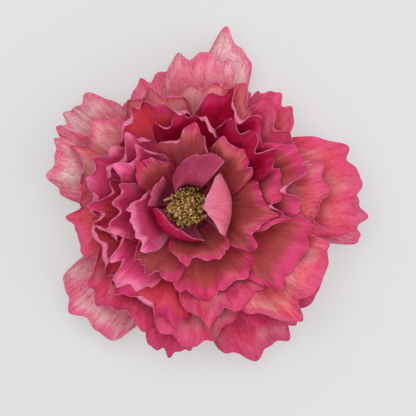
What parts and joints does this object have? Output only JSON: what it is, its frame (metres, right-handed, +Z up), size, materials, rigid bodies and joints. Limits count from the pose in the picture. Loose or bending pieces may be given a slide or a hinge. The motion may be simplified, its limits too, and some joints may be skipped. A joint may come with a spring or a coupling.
{
  "type": "crepe paper peony",
  "caption": "Full double peony flower head of ruffled creped paper petals round a fringed stamen centre, on a short taped stem end.",
  "frame": {"origin": "on the stem wire's axis, in the flat bottom of the taped stem end, which is the face it rests on", "axes": "+Z is up along the stem wire's axis, out of the open flower; seen from above, the pointed guard petal lies towards +Y and the long one towards +X"},
  "size_m": [0.1467, 0.1493, 0.0563],
  "materials": {
    "cotton": "spun cotton, dyed wine red",
    "crepe_bud": "creped paper, matt, mauve pink",
    "crepe_guard": "creped paper, matt, pale pink with darker veins",
    "crepe_heart": "creped paper, matt, coral with a magenta rim",
    "crepe_middle": "creped paper, matt, crimson pink",
    "crepe_outer": "creped paper, matt, rose pink",
    "floral_tape": "waxed crepe tape, matt green",
    "green_crepe": "creped paper, matt green",
    "stamen_paper": "fringed paper with crumbly ochre tips",
    "wire": "bare florists' wire"
  },
  "bodies": {
    "root": {"bud_hood": "crepe_bud", "bud_lip": "crepe_bud", "bud_scroll": "crepe_bud", "bud_side": "crepe_bud", "cotton_ball": "cotton", "cup_petal_1": "crepe_heart", "cup_petal_2": "crepe_heart", "cup_petal_3": "crepe_heart", "cup_petal_4": "crepe_heart", "cup_petal_5": "crepe_heart", "cup_petal_6": "crepe_heart", "guard_petal_1": "crepe_guard", "guard_petal_2": "crepe_guard", "guard_petal_3": "crepe_guard", "guard_petal_4": "crepe_guard", "guard_petal_5": "crepe_guard", "guard_petal_6": "crepe_guard", "heart_petal_1": "crepe_heart", "heart_petal_2": "crepe_heart", "heart_petal_3": "crepe_heart", "inner_petal_1": "crepe_middle", "inner_petal_2": "crepe_middle", "inner_petal_3": "crepe_middle", "inner_petal_4": "crepe_middle", "inner_petal_5": "crepe_middle", "inner_petal_6": "crepe_middle", "inner_petal_7": "crepe_middle", "middle_petal_1": "crepe_middle", "middle_petal_2": "crepe_middle", "middle_petal_3": "crepe_middle", "middle_petal_4": "crepe_middle", "middle_petal_5": "crepe_middle", "middle_petal_6": "crepe_middle", "middle_petal_7": "crepe_middle", "middle_petal_8": "crepe_middle", "outer_petal_1": "crepe_outer", "outer_petal_2": "crepe_outer", "outer_petal_3": "crepe_outer", "outer_petal_4": "crepe_outer", "outer_petal_5": "crepe_outer", "outer_petal_6": "crepe_outer", "outer_petal_7": "crepe_outer", "outer_petal_8": "crepe_outer", "outer_petal_9": "crepe_outer", "sepal_1": "green_crepe", "sepal_2": "green_crepe", "sepal_3": "green_crepe", "sepal_4": "green_crepe", "sepal_5": "green_crepe", "skirt_petal_1": "crepe_guard", "skirt_petal_2": "crepe_guard", "skirt_petal_3": "crepe_guard", "skirt_petal_4": "crepe_guard", "skirt_petal_5": "crepe_guard", "skirt_petal_6": "crepe_guard", "stamen_fringe": "stamen_paper", "stem_wire": "wire", "tape_winding": "floral_tape"}
  },
  "joints": []
}
